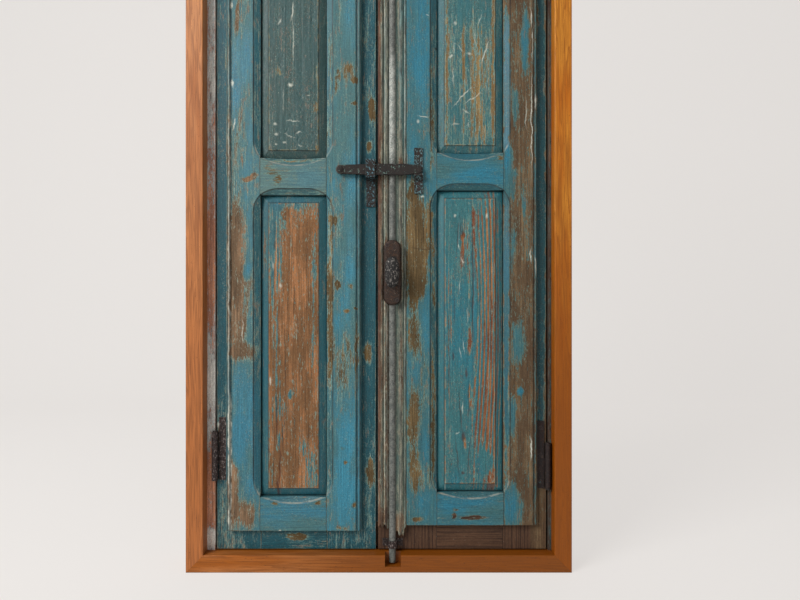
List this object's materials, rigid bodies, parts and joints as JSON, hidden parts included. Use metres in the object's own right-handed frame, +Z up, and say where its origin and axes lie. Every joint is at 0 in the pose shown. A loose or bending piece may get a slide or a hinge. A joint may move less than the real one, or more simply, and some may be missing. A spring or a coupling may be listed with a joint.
{
  "type": "window shutters in frame",
  "caption": "Old inward-opening panelled wooden shutter leaves in a varnished pine frame, with bar latch, knob-driven bolt rods and iron hinges.",
  "frame": {"origin": "centre of the frame's underside, at mid depth", "axes": "+X to the right seen from the room, +Z up, -Y towards the room"},
  "size_m": [0.754, 0.1175, 1.554],
  "materials": {
    "pine": "satin varnish",
    "old_jamb_wood": "worn grey paint",
    "blue_painted_wood": "weathered matt paint",
    "worn_reeded_wood": "worn paint",
    "rusty_iron": "rusted",
    "bare_iron": "worn",
    "painted_iron": "worn paint",
    "screw_iron": "dull"
  },
  "bodies": {
    "frame": {"casing_bottom": "pine", "casing_left": "pine", "casing_right": "pine", "casing_top": "pine", "hinge_pin_left_lower": "rusty_iron", "hinge_pin_left_upper": "rusty_iron", "hinge_pin_right_lower": "rusty_iron", "hinge_pin_right_upper": "rusty_iron", "jamb_hinge_left_lower": "rusty_iron", "jamb_hinge_left_upper": "rusty_iron", "jamb_hinge_right_lower": "rusty_iron", "jamb_hinge_right_upper": "rusty_iron", "jamb_hinge_screws": "screw_iron", "old_head_stop": "old_jamb_wood", "old_jamb_left": "old_jamb_wood", "old_jamb_right": "old_jamb_wood", "old_sill_stop": "old_jamb_wood"},
    "leaf_left": {"latch_rivet": "bare_iron", "latch_staple": "painted_iron", "leaf_hinge_left_lower": "rusty_iron", "leaf_hinge_left_upper": "rusty_iron", "left_bottom_rail": "blue_painted_wood", "left_hinge_stile": "blue_painted_wood", "left_leaf_screws": "screw_iron", "left_lock_rail": "blue_painted_wood", "left_lower_panel": "blue_painted_wood", "left_meeting_stile": "blue_painted_wood", "left_top_rail": "blue_painted_wood", "left_upper_panel": "blue_painted_wood"},
    "latch_bar": {"latch_bar": "bare_iron"},
    "leaf_right": {"astragal": "worn_reeded_wood", "bolt_base_plate": "rusty_iron", "bolt_case": "rusty_iron", "latch_catch": "rusty_iron", "leaf_hinge_right_lower": "rusty_iron", "leaf_hinge_right_upper": "rusty_iron", "right_bottom_rail": "blue_painted_wood", "right_hinge_stile": "blue_painted_wood", "right_leaf_screws": "screw_iron", "right_lock_rail": "blue_painted_wood", "right_lower_panel": "blue_painted_wood", "right_meeting_stile": "blue_painted_wood", "right_top_rail": "blue_painted_wood", "right_upper_panel": "blue_painted_wood", "rod_guide_lower": "rusty_iron", "rod_guide_middle": "rusty_iron", "rod_guide_upper": "rusty_iron"},
    "bolt_knob": {"bolt_knob": "rusty_iron", "knob_pin": "rusty_iron", "bolt_pinion": "bare_iron"},
    "upper_rod": {"upper_rod": "painted_iron"},
    "lower_rod": {"lower_rod": "painted_iron"}
  },
  "joints": [
    {"name": "leaf_left_hinge", "type": "hinge", "parent": "frame", "child": "leaf_left", "pos_m": [-0.3254, -0.0255, 0.777], "axis": [0, 0, -1], "range_deg": [0, 100]},
    {"name": "leaf_right_hinge", "type": "hinge", "parent": "frame", "child": "leaf_right", "pos_m": [0.3348, -0.0255, 0.777], "axis": [0, 0, 1], "range_deg": [0, 94]},
    {"name": "latch_lift", "type": "hinge", "parent": "leaf_left", "child": "latch_bar", "pos_m": [-0.0756, -0.04, 0.788], "axis": [0, -1, 0], "range_deg": [0, 4.5]},
    {"name": "knob_turn", "type": "hinge", "parent": "leaf_right", "child": "bolt_knob", "pos_m": [0.0263, -0.045, 0.586], "axis": [0, -1, 0], "range_deg": [0, 180]},
    {"name": "upper_rod_slide", "type": "slide", "parent": "leaf_right", "child": "upper_rod", "axis": [0, 0, -1], "range_m": [0, 0.02356]},
    {"name": "lower_rod_slide", "type": "slide", "parent": "leaf_right", "child": "lower_rod", "axis": [0, 0, 1], "range_m": [0, 0.02356]}
  ],
  "couplings": [
    {"joint": "leaf_right_hinge", "follows": "leaf_left_hinge", "ratio": 0.94},
    {"joint": "knob_turn", "follows": "upper_rod_slide", "rad_per_m": 133.33},
    {"joint": "lower_rod_slide", "follows": "upper_rod_slide", "ratio": 1}
  ]
}
